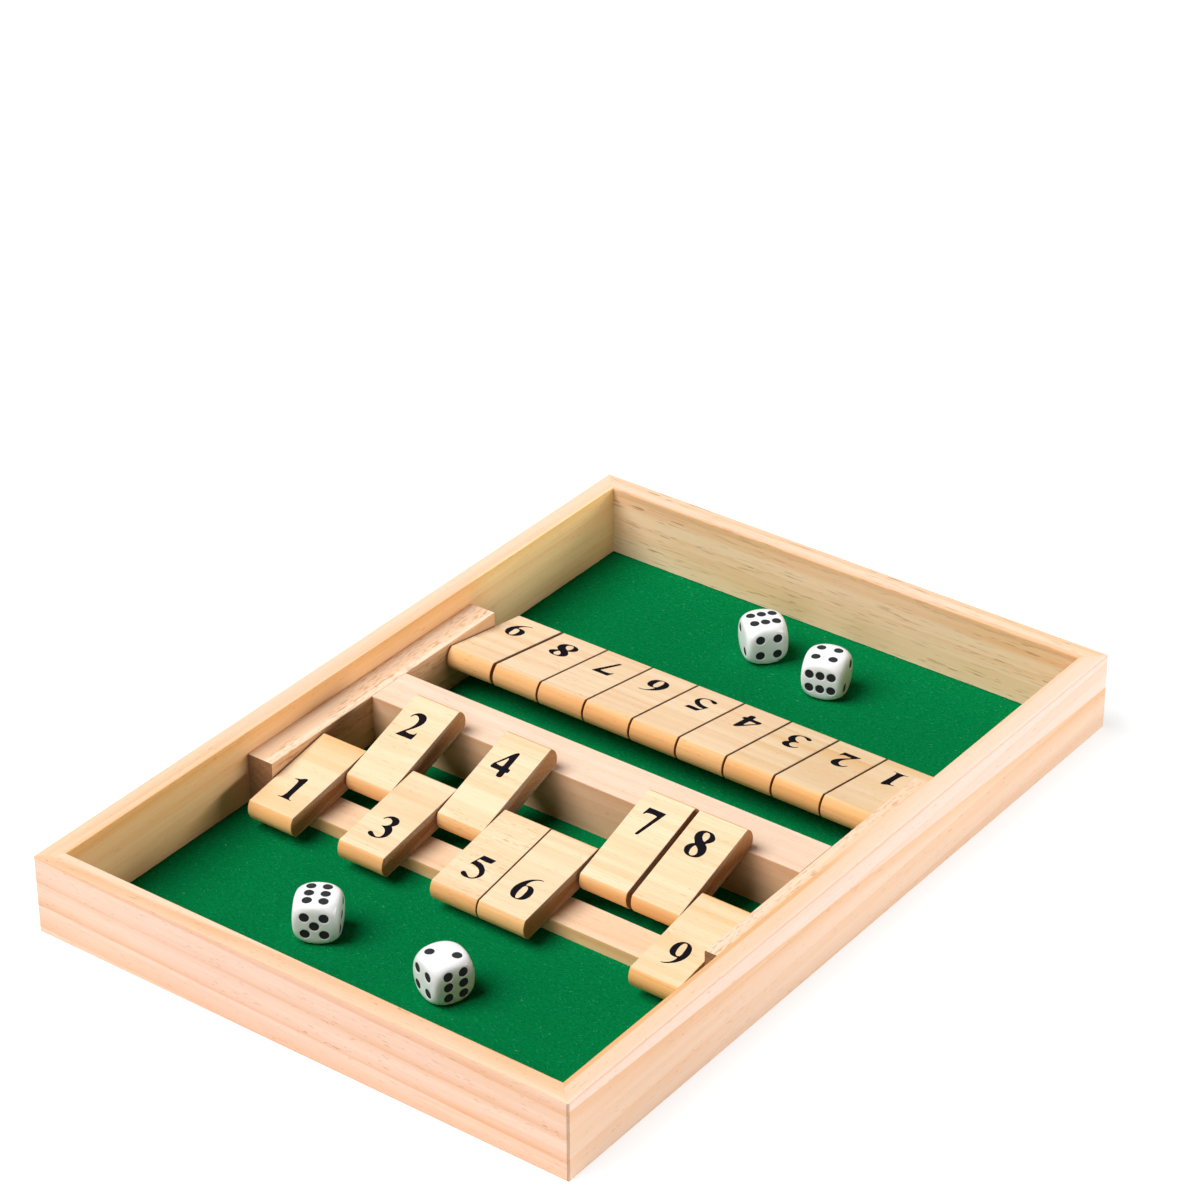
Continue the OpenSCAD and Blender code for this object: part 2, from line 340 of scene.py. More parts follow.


# Which log each fixed piece was cut from, and how its grain shows. A patch is a factor on the
# colour and the planes it lies inside: a direction in the board (along, across, up) and the mm
# along it over which the factor comes in. Patches that are painted light, painted shade and
# painted reflection say so where they stand, and a side factor is painted shade on inner faces
# and sides. (0, -1, 0) looks out of the side of a wall that the photograph shows
rail = {
    "inner": True, "along": "y", "strength": 0.5, "pale": (0.97, 0.78, 0.60), "side": (0.74, 0.58, 0.42),
    "end": (0.28, 0.14, 0.08), "dashWaves": (260, 1300, 2400), "dashFrom": 0.53, "clusters": 1.0,
    "dashes": 0.8,
}
restStrip = {"inner": True, "along": "x", "ring": 4.0 * mm, "strength": 0.8}
boards = {
    "front_wall": {
        "along": "x", "pith": (-0.020, 0.0608), "ring": 8.6 * mm, "strength": 1.2, "tilt": (-1.1, 0),
        "dashes": 0.7,
        "patches": [
            # Painted reflection: a cool lavender cast over the outer face, stronger on its right part
            ((0.95, 0.92, 0.98), ((0, -1, 0), 3.3, 3.9)),
            ((0.95, 0.93, 0.94), ((1, 0, 0), -95, -20), ((0, -1, 0), 3.3, 3.9)),
        ],
    },
    "back_wall": {
        "along": "x", "pith": (0.05, -0.042), "ring": 5.0 * mm, "strength": 0.6, "bands": 0.5,
        "dashWaves": (110, 1900, 1900), "dashFrom": 0.62, "dashes": 0.9, "dash": (0.42, 0.22, 0.12),
        "side": (0.98, 0.85, 0.64),
        "patches": [
            # Painted light: the inner face brightened and cooled
            ((1.05, 1.17, 1.42), ((0, -1, 0), 2, 3.8)),
            ((1.00, 1.08, 1.12), ((0, 0, -1), 1, 5), ((0, -1, 0), 2, 3.8)),
            ((0.90, 0.80, 0.70), ((0, 0, 1), 11.5, 13), ((0, -1, 0), 2, 3.5)),
        ],
    },
    "left_wall": {
        "along": "y", "pith": (0.04, -0.05), "ring": 6.0 * mm, "strength": 0.5, "tilt": (0.6, 0),
        "bands": 0.3,
        "patches": [
            # Painted shade on the near part of the inner face and painted light on its far part
            ((0.97, 0.96, 0.90), ((-1, 0, 0), 55, 75), ((0, -1, 0), 2, 3.8)),
            ((1.13, 1.31, 1.38), ((1, 0, 0), 55, 80), ((0, -1, 0), 2, 3.8)),
            ((1.03, 0.95, 0.80), ((0, 0, 1), 9, 12), ((0, -1, 0), 2, 3.5)),
        ],
    },
    "right_wall": {
        "along": "y", "pith": (0.03, -0.070), "ring": 9.5 * mm, "strength": 1.0, "tilt": (1.6, 0),
        "bands": 0.5, "pale": (0.93, 0.70, 0.54), "late": (0.87, 0.56, 0.35),
        "patches": [
            # Painted reflection: a pale lavender glare band high on the outer face
            ((1.04, 1.07, 1.20), ((0.031, 0, 1), 6.4, 7.0), ((0, -1, 0), 2, 3.5)),
            ((0.97, 0.87, 0.74), ((-0.031, 0, -1), -7.0, -6.5), ((0.031, 0, 1), 0, 6),
             ((0, -1, 0), 2, 3.5)),
            # Painted shade: the outer face darker towards the bottom and the near end
            ((0.93, 0.90, 0.88), ((-1, 0, 0), -30, 120), ((-0.031, 0, -1), -7.4, -6.4),
             ((0, -1, 0), 2, 3.5)),
            ((0.92, 0.74, 0.50), ((0, 1, 0), 1.6, 2.4), ((-1, 0, 0), -20, 20), ((0, 0, 1), 12, 14.5)),
        ],
    },
    "left_rod_rail": {**rail, "pith": (0.018, -0.03), "ring": 3.2 * mm},
    "right_rod_rail": {**rail, "pith": (0.02, -0.04), "ring": 3.0 * mm},
    "middle_bar": {
        "inner": True, "along": "x", "pith": (0.03, -0.12), "ring": 5.0 * mm, "strength": 0.4,
        "pale": (0.95, 0.75, 0.60), "tint": (0.95, 0.73, 0.60), "bands": 0.2,
        "side": (0.84, 0.68, 0.52),
    },
    "near_rest_strip": {**restStrip, "pith": (0.004, -0.02)},
    "far_rest_strip": {**restStrip, "pith": (0.01, -0.03)},
}


def dress(node, material):
    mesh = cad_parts[node].data
    mesh.materials.clear()
    mesh.materials.append(material)


def dressBoards():
    for node, wood in boards.items():
        low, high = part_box(node)
        middle = tuple((low + high) / 2)
        dress(node, pine(node + "_pine", {**wood, "middle": middle}))


dressBoards()
print("boards finished")


# The thin board under the felt: pressed chips with long strands between them
chipboard = {
    "dark": (0.50, 0.36, 0.23),
    "light": (0.66, 0.50, 0.34),
    "strand": (0.42, 0.29, 0.18),
    "chipWaves": (900, 900, 900),
    "strandWaves": (120, 1500, 1500),
    "depth": 0.05 * mm,
}


def baseBoard():
    finish = Finish("base_board", {"IOR": 1.45})
    place = finish.node("ShaderNodeTexCoord", {}, {}, (3,))
    chip = finish.noise(place, chipboard["chipWaves"], 3.0, 0.6)
    strand = finish.noise(place, chipboard["strandWaves"], between=(0.45, 0.7))
    colour = finish.mix(finish.fade(chip, 0.35, 0.7), chipboard["dark"], chipboard["light"])
    colour = finish.mix(0.4 * strand, colour, chipboard["strand"])
    return finish.give(colour, 0.65 + 0.15 * chip, chip, chipboard["depth"])


# The rods' steel, with fine scratches along them
steel = {
    "dark": (0.62, 0.61, 0.60),
    "light": (0.78, 0.77, 0.76),
    "waves": (40, 6000, 6000),
    "depth": 0.004 * mm,
}


def drawnSteel():
    finish = Finish("drawn_steel", {"Metallic": 1.0})
    place = finish.node("ShaderNodeTexCoord", {}, {}, (3,))
    scratch = finish.noise(place, steel["waves"], 3.0, 0.6)
    colour = finish.mix(scratch, steel["dark"], steel["light"])
    return finish.give(colour, 0.16 + 0.18 * scratch, scratch, steel["depth"])


dress("base_panel", baseBoard())
rodSteel = drawnSteel()
dress("near_rod", rodSteel)
dress("far_rod", rodSteel)
print("base board and rods finished")


# Puts corners (n, 3) and four-cornered faces (m, 4) into a mesh object with one material.
# attributes are values or vectors of the corners, for the shaders
def makePiece(name, corners, faces, material, attributes):
    mesh = bpy.data.meshes.new(name)
    mesh.vertices.add(len(corners))
    mesh.vertices.foreach_set("co", corners.astype(np.float32).ravel())
    mesh.loops.add(faces.size)
    mesh.loops.foreach_set("vertex_index", faces.astype(np.int32).ravel())
    mesh.polygons.add(len(faces))
    mesh.polygons.foreach_set("loop_start", np.arange(0, faces.size, 4, dtype=np.int32))
    mesh.update(calc_edges=True)
    for label, values in attributes.items():
        kind, part = ("FLOAT_VECTOR", "vector") if values.ndim == 2 else ("FLOAT", "value")
        attribute = mesh.attributes.new(label, kind, "POINT")
        attribute.data.foreach_set(part, values.astype(np.float32).ravel())
    mesh.shade_smooth()
    mesh.materials.append(material)
    piece = bpy.data.objects.new(name, mesh)
    bpy.context.scene.collection.objects.link(piece)
    return piece


# Faces of a grid of corners, rows by columns; a closed side joins its last line to its first
def gridFaces(rows, columns, closedRows=False, closedColumns=False):
    row = np.arange(rows if closedRows else rows - 1)[:, None]
    column = np.arange(columns if closedColumns else columns - 1)[None, :]
    nextRow, nextColumn = (row + 1) % rows, (column + 1) % columns
    corners = (row * columns + column, row * columns + nextColumn,
               nextRow * columns + nextColumn, nextRow * columns + column)
    return np.stack(corners, -1).reshape(-1, 4)


# A flip tile, its rod at the origin, its free end at +y and its width along x
tile = {
    "length": 44 * mm,
    "thickness": 8.5 * mm,
    "noseRadius": 5.6 * mm,
    "behindRod": 7.5 * mm,
    "bore": 1.38 * mm,
    "corner": 0.7 * mm,       # rounding where a nose meets a face
    "edge": 0.3 * mm,         # easing round the two sides
    "noseSteps": 16,
    "cornerSteps": 7,
    "edgeSteps": 5,
    "boreSteps": 36,
    "sharp": 42,              # degrees between two faces that keep a sharp line
    "restGap": 0.04 * mm,     # air under a resting tile
    "noseFrom": 0.2,          # the nose's dye starts a little round the corner
    "noseGain": 1.4,
}


# The outline by the direction its surface faces: a nose circle shrunk by the corner radius,
# held at the face's height once it reaches it, then pushed out by the corner radius. Rays
# from the rod at even angles also cut the long faces, so that the bore stays round; angles
# that agree to four decimals count once
def tileSkeleton(tile):
    halfway = tile["thickness"] / 2 - tile["corner"]
    radius = tile["noseRadius"] - tile["corner"]
    turn = math.asin(halfway / radius)
    nose = np.linspace(0, turn, tile["noseSteps"])
    quarter = np.concatenate([nose, np.linspace(turn, math.pi / 2, tile["cornerSteps"])[1:]])
    half = np.concatenate([-quarter[:0:-1], quarter])
    facing = np.concatenate([half, math.pi + half])
    way = np.repeat([1, -1], len(half))
    freeEnd = tile["length"] - tile["behindRod"] - tile["noseRadius"]
    middle = np.where(way > 0, freeEnd, tile["noseRadius"] - tile["behindRod"])
    held = np.arcsin(np.clip(np.sin(facing), -math.sin(turn), math.sin(turn)))
    core = np.stack([middle + way * radius * np.cos(held), radius * np.sin(held)], 1)
    normal = np.stack([np.cos(facing), np.sin(facing)], 1)
    edge = core + tile["corner"] * normal
    angle = np.arctan2(edge[:, 1], edge[:, 0])
    even = np.linspace(-math.pi, math.pi, tile["boreSteps"], endpoint=False)
    wanted = np.unique(np.round(np.concatenate([angle, even]), 4))
    lines = np.concatenate([core, normal], 1).T
    return wanted, [np.interp(wanted, angle, line, period=2 * math.pi) for line in lines]


# A tile is one ring-shaped skin: bore, side, eased edge, outline, eased edge, side, bore.
# nose says how far a corner's surface turns from the flat faces towards the ends
def tileSkin(tile, width):
    angle, (y, z, normalY, normalZ) = tileSkeleton(tile)
    turn = np.linspace(0, math.pi / 2, tile["edgeSteps"])
    depth = tile["edge"] * (1 - np.sin(turn))
    inset = tile["edge"] * (1 - np.cos(turn))
    across = np.concatenate([depth[::-1], width - depth])
    out = tile["corner"] - np.concatenate([inset[::-1], inset])
    rings = [
        np.stack([np.full_like(y, x), y + push * normalY, z + push * normalZ], 1)
        for x, push in zip(across, out)
    ]
    hole = [np.cos(angle) * tile["bore"], np.sin(angle) * tile["bore"]]
    left = np.stack([np.zeros_like(y), *hole], 1)
    right = np.stack([np.full_like(y, width), *hole], 1)
    nose = np.clip(tile["noseGain"] * np.abs(normalY) - tile["noseFrom"], 0, 1)
    loops = len(rings) + 2
    faces = gridFaces(loops, len(angle), True, True)
    return np.concatenate([left, *rings, right]), faces, np.tile(nose, loops)


# Turns corners by an angle about the x axis, as a tile turns on its rod
def aboutRod(corners, angle):
    x, y, z = corners.T
    turnedY = y * math.cos(angle) - z * math.sin(angle)
    turnedZ = y * math.sin(angle) + z * math.cos(angle)
    return np.stack([x, turnedY, turnedZ], 1)


# The slope of a tile whose underside rests on an edge at (away, rise) from its rod: the
# slope of the line to the edge, and on top of it the angle that half the thickness takes up
def lean(away, rise):
    under = tile["thickness"] / 2 + tile["restGap"]
    return math.atan2(rise, away) + math.asin(under / math.hypot(away, rise))


# A row as its own player sees it, x to the right and y away from the player: the rod, and
# the turn of an open and of a flipped tile. The far player's row is turned half round
def rowFrame(row, side):
    rod, bar, strip = (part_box(node) for node in (row + "_rod", "middle_bar", row + "_rest_strip"))
    barY, stripY = (min(side * corner.y for corner in box) for box in (bar, strip))
    rodY, rodZ = side * (rod[0].y + rod[1].y) / 2, (rod[0].z + rod[1].z) / 2
    return {
        "side": side,
        "rod": np.array([0, rodY, rodZ]),
        "flipped": lean(barY - rodY, bar[1].z - rodZ),
        "open": math.pi - lean(rodY - stripY, strip[1].z - rodZ),
    }


flippedTiles = {"near": (2, 4, 7, 8), "far": ()}
rowFrames = {"near": rowFrame("near", 1), "far": rowFrame("far", -1)}


# Takes corners from a tile's own place to the game's: turned on the rod, moved along it,
# and for the far row turned half round about the upright
def placeOnRod(corners, row, number, start):
    where = rowFrames[row]
    turn = where["flipped" if number in flippedTiles[row] else "open"]
    seat = aboutRod(corners, turn) + where["rod"] + np.array([start, 0, 0])
    return seat * np.array([where["side"], where["side"], 1])


# How the tiles are cut from their log: metres from the pith, radians of slant, and metres
# along the log between which a tile may come from
cutting = {"seedStep": 100, "away": (0.04, 0.12), "slant": (-0.55, 0.55), "along": (-0.5, 0.5)}


# The cut of each tile, so that no two tiles show the same grain: how far the log is turned
# about the tile's width, either way up, and how far the tile lies along it and from its pith
def tileCut(number, row):
    chance = np.random.default_rng(cutting["seedStep"] * number + (row == "far"))
    away = chance.uniform(*cutting["away"])
    slant = chance.uniform(*cutting["slant"]) + (math.pi if chance.random() < 0.5 else 0)
    return {"turn": slant, "shift": np.array([chance.uniform(*cutting["along"]), 0, away])}


tileWood = {
    "pale": (0.94, 0.74, 0.50), "tint": (0.95, 0.71, 0.48), "side": (0.92, 0.68, 0.42),
    "ring": 2.4 * mm, "wander": 4 * mm, "strength": 0.45, "bands": 0.35, "dashes": 0.6,
    "end": (0.26, 0.12, 0.06),
}
tileLooks = {
    "plain": {},
    "banded": {"ring": 4.5 * mm, "strength": 1.2, "bands": 0.5, "late": (0.84, 0.52, 0.24)},
    "flecked": {"strength": 0.3, "dashFrom": 0.60, "clusters": 0.4, "dashes": 0.7},
}
tilePines = {
    name: pine(name + "_tile_pine", {**tileWood, **look}, "grain")
    for name, look in tileLooks.items()
}
bandedTiles = ("near_tile_1", "near_tile_9", "far_tile_1", "far_tile_2", "far_tile_3")
fleckedTiles = ("near_tile_5",)


# Where a tile starts and ends along its rod, as its own player sees it
def tileRange(row, number):
    low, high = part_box(f"{row}_tile_{number}")
    return sorted((rowFrames[row]["side"] * low.x, rowFrames[row]["side"] * high.x))


def makeTile(row, number):
    start, end = tileRange(row, number)
    corners, faces, nose = tileSkin(tile, end - start)
    cut = tileCut(number, row)
    grain = aboutRod(corners, cut["turn"]) + cut["shift"]
    node = f"{row}_tile_{number}"
    corners = placeOnRod(corners, row, number, start)
    look = "banded" if node in bandedTiles else "flecked" if node in fleckedTiles else "plain"
    piece = makePiece("flip_" + node, corners, faces, tilePines[look], {"grain": grain, "nose": nose})
    piece.data.set_sharp_from_angle(angle=math.radians(tile["sharp"]))
    piece.modifiers.new("even shading", "WEIGHTED_NORMAL").keep_sharp = True
    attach(piece, node)
    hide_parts(node)


for row in rowFrames:
    for number in range(1, 10):
        makeTile(row, number)
print("tiles made")


# Old-style numerals with thick and thin strokes, in hundredths of their height. Each is its
# outline and then its holes. A point with a third value is a sharp corner, and the others lie
# on a smooth line
numerals = {
    1: [[(-7, 86.5, 1), (10, 92), (28, 101), (33, 97, 1), (33.5, 12), (36, 5), (46, 1.5, 1), (48, 0.5, 1),
         (48, 0, 1), (-4, 0, 1), (-4, 2, 1), (6, 4), (10.5, 10), (10.5, 76), (9, 81), (5, 83.5),
         (-7, 84, 1)]],
    2: [[(0, 75, 1), (2, 83), (9, 92), (20, 98.5), (31, 100), (44, 97), (52.5, 88), (55.5, 76), (53, 64),
         (46, 51), (38, 40), (29, 30), (22, 21.5, 1), (30, 19.5), (45, 19.5), (52, 21), (55, 24),
         (57, 29, 1), (60, 29, 1), (60.5, 20), (58, 1, 1), (1, 0, 1), (0, 2.5, 1), (8, 14), (16, 24.5),
         (24, 35), (30, 46), (33.5, 57), (34, 68), (31, 77), (24, 84), (15, 86.5), (8, 83.5), (3.5, 77),
         (1.5, 73.5, 1)]],
    3: [[(2, 78, 1), (5, 85), (13, 94), (24, 99.5), (35, 100.5), (47, 97), (55, 88), (57, 79), (54, 70.5),
         (47, 62, 1), (55, 55), (61, 45), (62.5, 34), (60.5, 21), (53, 10.5), (41, 3), (29, 0), (15, 0),
         (5, 3.5), (0, 10), (2, 16.5), (8, 18), (15, 15), (22, 10), (30, 6.5), (38, 7), (44, 12), (46, 20),
         (45, 29), (40, 38), (33, 44.5), (25, 48.5), (19, 50.5), (17, 52.5, 1), (22, 54), (29, 57.5),
         (35, 64), (37, 72), (34.5, 80), (28, 86), (19, 88), (11, 85), (5, 77.5, 1)]],
    4: [[(46, 100), (52, 101), (55.5, 97, 1), (55.5, 40, 1), (59, 37.5), (64, 36), (65, 30), (62.5, 22.5),
         (58, 21.5), (56, 18, 1), (55.5, 3), (53, 0), (38, 0), (36, 3), (35.5, 19, 1), (33, 21, 1),
         (3, 21, 1), (0, 24), (0.5, 34), (2, 38, 1)],
        [(12, 39, 1), (31, 38), (35, 40, 1), (35, 70), (33, 72, 1), (22, 56), (11, 41, 1)]],
    5: [[(16, 100, 1), (61, 99, 1), (56, 82.5, 1), (52, 81), (14, 81, 1), (11, 71, 1), (25, 70), (38, 65.5),
         (50, 57), (59, 46), (63, 34), (61, 21), (54, 10.5), (43, 3), (30, 0), (15, 0.5), (5, 4), (0, 10),
         (2, 17), (8, 19), (15, 16), (24, 10), (33, 5.5), (41, 7), (48, 13), (50.5, 22), (49, 31), (43, 40),
         (34, 47), (23, 51.5), (11, 53.5), (0, 53, 1)]],
    6: [[(62, 100, 1), (50, 99), (36, 93), (22, 83.5), (11, 70), (3, 54), (0, 37), (2, 21), (9, 8.5),
         (20, 1.5), (33, 0), (47, 2.5), (58, 10), (64, 21), (65.5, 33), (63, 47), (55.5, 58), (44, 63),
         (34, 62), (25.5, 59.5, 1), (29, 74), (37, 86), (48, 94), (62, 98, 1)],
        [(24, 51), (28, 56), (33, 57.5), (38, 54), (43, 44), (44, 31), (43, 15), (39, 6), (34, 3.5),
         (29, 6), (25, 15), (22.5, 28), (23, 42)]],
    7: [[(6, 100, 1), (64, 100, 1), (65, 97, 1), (33, 3, 1), (31, 0), (22, 0), (22, 3, 1), (45, 79, 1),
         (44, 81, 1), (30, 81.5), (17, 80.5), (8, 77.5), (4, 73), (0, 72, 1), (0, 75, 1)]],
    8: [[(34, 100.5), (48, 99), (59, 92), (66, 81), (62, 70), (53, 61.5), (49, 57, 1), (58, 50), (64, 40),
         (66, 29), (64, 18), (57, 8), (45, 2), (32, 0), (18, 2), (7, 8.5), (1, 18), (0, 27), (4, 36),
         (11, 43.5), (18, 48, 1), (12, 55), (5, 64), (2, 74), (3, 84), (10, 93.5), (21, 99)],
        [(25, 92), (31, 95), (38, 94), (44, 88), (45.5, 78), (43, 68), (41, 63, 1), (35, 66), (28, 73),
         (24, 81)],
        [(24, 41, 1), (31, 38), (39, 31), (44, 22), (44, 13), (39, 7), (32, 5), (25, 8), (20.5, 17),
         (19.5, 27), (21, 35)]],
    9: [[(8, 0, 1), (7, 2, 1), (18, 6), (29, 14), (36, 25), (39, 37, 1), (30, 36.5), (20, 37), (9, 42.5),
         (2, 53), (0, 66), (2, 80), (9, 91.5), (19, 98.5), (30, 100), (43, 96.5), (54, 86.5), (60, 73),
         (62, 58), (59, 42), (51, 26), (38, 13), (23, 3.5), (10, 0)],
        [(41, 47), (37, 43.5), (31, 44), (25, 48.5), (21, 58), (19, 70), (19.5, 84), (24, 93.5), (30, 95.5),
         (35, 91), (39, 79), (41, 64)]],
}

# How the numbers are printed on the open face and on the flipped face of each tile
printing = {
    "height": 11.6 * mm,
    "ink": 0.02 * mm,         # how far the ink stands proud of the wood
    "openIn": 14.4 * mm,      # middle of a number from the free end, on the open face
    "flippedIn": 14.1 * mm,
    "openAside": {"near": 0.2 * mm, "far": 0.0},
    "flippedAside": -1.5 * mm,
    # tiles whose print sits askew on the open face: to the right and towards the rod
    "strays": {"far_9": (2.0 * mm, -1.6 * mm), "far_8": (0.5 * mm, 0.0)},
    "curveSteps": 6,
    "dark": (0.006, 0.006, 0.009),
    "light": (0.014, 0.013, 0.017),
    "waves": (900, 2600, 2600),
    "depth": 0.01 * mm,
}


def printInk():
    finish = Finish("printed_ink", {"IOR": 1.45, "Specular IOR Level": 0.0})
    place = finish.node("ShaderNodeTexCoord", {}, {}, (3,))
    grain = finish.noise(place, printing["waves"])
    colour = finish.mix(grain, printing["dark"], printing["light"])
    return finish.give(colour, 0.45 + 0.2 * grain, grain, printing["depth"])


# A numeral as a thin flat mesh, its middle at the origin and its top towards +y: a closed
# curve through the points, straight at the corners, filled and given the ink's thickness
def numeralMesh(number):
    curve = bpy.data.curves.new("numeral", "CURVE")
    curve.dimensions = "2D"
    curve.fill_mode = "BOTH"
    curve.resolution_u = printing["curveSteps"]
    curve.extrude = printing["ink"] / printing["height"] * 100
    xs, ys = ([point[axis] for point in numerals[number][0]] for axis in (0, 1))
    middle = ((min(xs) + max(xs)) / 2, (min(ys) + max(ys)) / 2)
    for outline in numerals[number]:
        spline = curve.splines.new("BEZIER")
        spline.bezier_points.add(len(outline) - 1)
        spline.use_cyclic_u = True
        for point, knot in zip(outline, spline.bezier_points):
            knot.co = (point[0] - middle[0], point[1] - middle[1], 0)
            knot.handle_left_type = knot.handle_right_type = "VECTOR" if len(point) == 3 else "AUTO"
    shape = bpy.data.objects.new("numeral", curve)
    bpy.context.scene.collection.objects.link(shape)
    bpy.context.view_layer.update()
    flat = shape.evaluated_get(bpy.context.evaluated_depsgraph_get())
    mesh = bpy.data.meshes.new_from_object(flat)
    bpy.data.objects.remove(shape)
    return mesh


# Moves a copy of the numeral onto one face of a tile. The open face looks down in the
# tile's own place and its number reads towards the rod; the flipped face looks up
def printNumber(mesh, row, number, flipped):
    start, end = tileRange(row, number)
    points = np.empty(3 * len(mesh.vertices), np.float32)
    mesh.vertices.foreach_get("co", points)
    points = points.reshape(-1, 3) * (printing["height"] / 100)
    inward = printing["flippedIn"] if flipped else printing["openIn"]
    aside = printing["flippedAside"] if flipped else printing["openAside"][row]
    reads = 1 if flipped else -1
    strayAside, strayIn = (0, 0) if flipped else printing["strays"].get(f"{row}_{number}", (0, 0))
    points = points * np.array([1, reads, reads])
    points += np.array([
        (end - start) / 2 + aside + strayAside,
        tile["length"] - tile["behindRod"] - inward - strayIn,
        reads * tile["thickness"] / 2,
    ])
    return placeOnRod(points, row, number, start)


# Both numbers of a tile as one piece. Neither copy is mirrored, so both keep the faces' order
def makeNumbers(row, number, mesh):
    both = [printNumber(mesh, row, number, flipped) for flipped in (False, True)]
    faces = [tuple(face.vertices) for face in mesh.polygons]
    second = [tuple(corner + len(mesh.vertices) for corner in face) for face in faces]
    printed = bpy.data.meshes.new(f"{row}_number_{number}")
    printed.from_pydata(np.concatenate(both).tolist(), [], faces + second)
    printed.materials.append(ink)
    piece = bpy.data.objects.new(printed.name, printed)
    bpy.context.scene.collection.objects.link(piece)
    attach(piece, f"{row}_tile_{number}")


ink = printInk()
for number in range(1, 10):
    shape = numeralMesh(number)
    for row in rowFrames:
        makeNumbers(row, number, shape)
print("numbers printed")


# A die, as a cube whose faces bulge into its corners
die = {
    "power": 15,              # the higher, the flatter the faces
    "ball": 0.67,             # radius that rounds the corners, as a share of the edge
    "pip": 1.58 * mm,
    "rim": 0.25 * mm,
    "depth": 0.30 * mm,
    "corner": 3.25 * mm,      # from a face's middle to its corner pips, each way
    "sixApart": 2.78 * mm,
    "sixAlong": 4.11 * mm,
    "steps": 88,
    "weld": 0.002 * mm,
    "white": (0.92, 0.93, 0.95),
    "brightest": (0.96, 0.96, 0.97),
    "paint": (0.004, 0.005, 0.006),
    "paintEdge": (0.18 * mm, 0.08 * mm),    # past the pip's radius, where the paint ends
    "cloudWaves": (220, 220, 220),
    "coat": 0.4,
    "relief": 0.02 * mm,
    # each die's turn about the upright, in degrees, after the roll that brings its faces round
    "turns": {
        "near_die_left": (29.7, (0, 0, 0)),
        "near_die_right": (-21.3, (90, 0, 90)),
        "far_die_left": (-39.2, (0, 0, 180)),
        "far_die_right": (15.6, (0, 90, -90)),
    },
}


# Each face's turn and its pips: six up, five in front, three to the right, and opposite
# faces make seven
def dieFaces(die):
    a, six, along = die["corner"], die["sixApart"], die["sixAlong"]
    corners = [(-a, -a), (a, -a), (-a, a), (a, a)]
    return [
        ((0, 0, 0), [(x, y) for x in (-six, six) for y in (-along, 0, along)]),
        ((180, 0, 0), [(0, 0)]),
        ((90, 0, 0), corners + [(0, 0)]),
        ((-90, 0, 0), [(-a, a), (a, -a)]),
        ((90, 0, 90), [(-a, -a), (0, 0), (a, a)]),
        ((90, 0, -90), corners),
    ]


# Points turned about x, then y, then z
def turned(points, degrees):
    turn = np.array(Euler([math.radians(d) for d in degrees]).to_matrix())
    return points @ turn.T


# Each face is a grid of directions. The distance to the skin is a high power mean of the
# cube's faces and the ball; pips sink it by a soft-rimmed step of the distance to a pip
def dieSkin(die, half):
    line = np.tan(np.linspace(-math.pi / 4, math.pi / 4, die["steps"] + 1))
    u, v = (g.ravel() for g in np.meshgrid(line, line, indexing="ij"))
    way = np.stack([u, v, np.ones_like(u)], 1)
    way /= np.linalg.norm(way, axis=1)[:, None]
    power = die["power"]
    tight = (np.abs(way / half) ** power).sum(1) + (1 / (2 * half * die["ball"])) ** power
    face = way * (tight ** (-1 / power))[:, None]
    points, marks = [], []
    sides = dieFaces(die)
    for turn, pips in sides:
        reach = np.min([np.hypot(face[:, 0] - x, face[:, 1] - y) for x, y in pips], axis=0)
        rise = np.clip((reach - die["pip"]) / die["rim"], 0, 1)
        sunk = face.copy()
        sunk[:, 2] -= die["depth"] * (1 - rise * rise * (3 - 2 * rise))
        points.append(turned(sunk, turn))
        marks.append(reach)
    grid = gridFaces(die["steps"] + 1, die["steps"] + 1)[:, ::-1]
    faces = np.concatenate([grid + i * len(face) for i in range(len(sides))])
    return np.concatenate(points), faces, np.concatenate(marks)


# Glossy, slightly waxy white, and matt paint in the pips
def dieWhite():
    finish = Finish("die_white", {
        "IOR": 1.5,
        "Coat Roughness": 0.08,
        "Subsurface Weight": 0.35,
        "Subsurface Radius": (1, 1, 1),
        "Subsurface Scale": 5 * mm,
    })
    reach = finish.node("ShaderNodeAttribute", {"attribute_name": "pip"}, {}, (2,))
    place = finish.node("ShaderNodeTexCoord", {}, {}, (3,))
    cloud = finish.noise(place, die["cloudWaves"])
    white = finish.mix(cloud, die["white"], die["brightest"])
    outer, inner = die["paintEdge"]
    paint = finish.fade(reach, die["pip"] + outer, die["pip"] + inner)
    colour = finish.mix(paint, white, die["paint"])
    finish.feed(finish.shader.inputs["Coat Weight"], die["coat"] * (1 - paint))
    return finish.give(colour, 0.16 + 0.08 * cloud + 0.75 * paint, cloud, die["relief"])


def makeDie(node, material):
    low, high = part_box(node)
    half = (high.z - low.z) / 2
    corners, faces, reach = dieSkin(die, half)
    spin, roll = die["turns"][node]
    middle = np.array((low + high) / 2)
    corners = turned(turned(corners, roll), (0, 0, spin)) + middle
    piece = makePiece("white_" + node, corners, faces, material, {"pip": reach})
    body = bmesh.new()
    body.from_mesh(piece.data)
    bmesh.ops.remove_doubles(body, verts=body.verts, dist=die["weld"])
    body.to_mesh(piece.data)
    body.free()
    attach(piece, node)
    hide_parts(node)


white = dieWhite()
for node in die["turns"]:
    makeDie(node, white)
print("dice made")


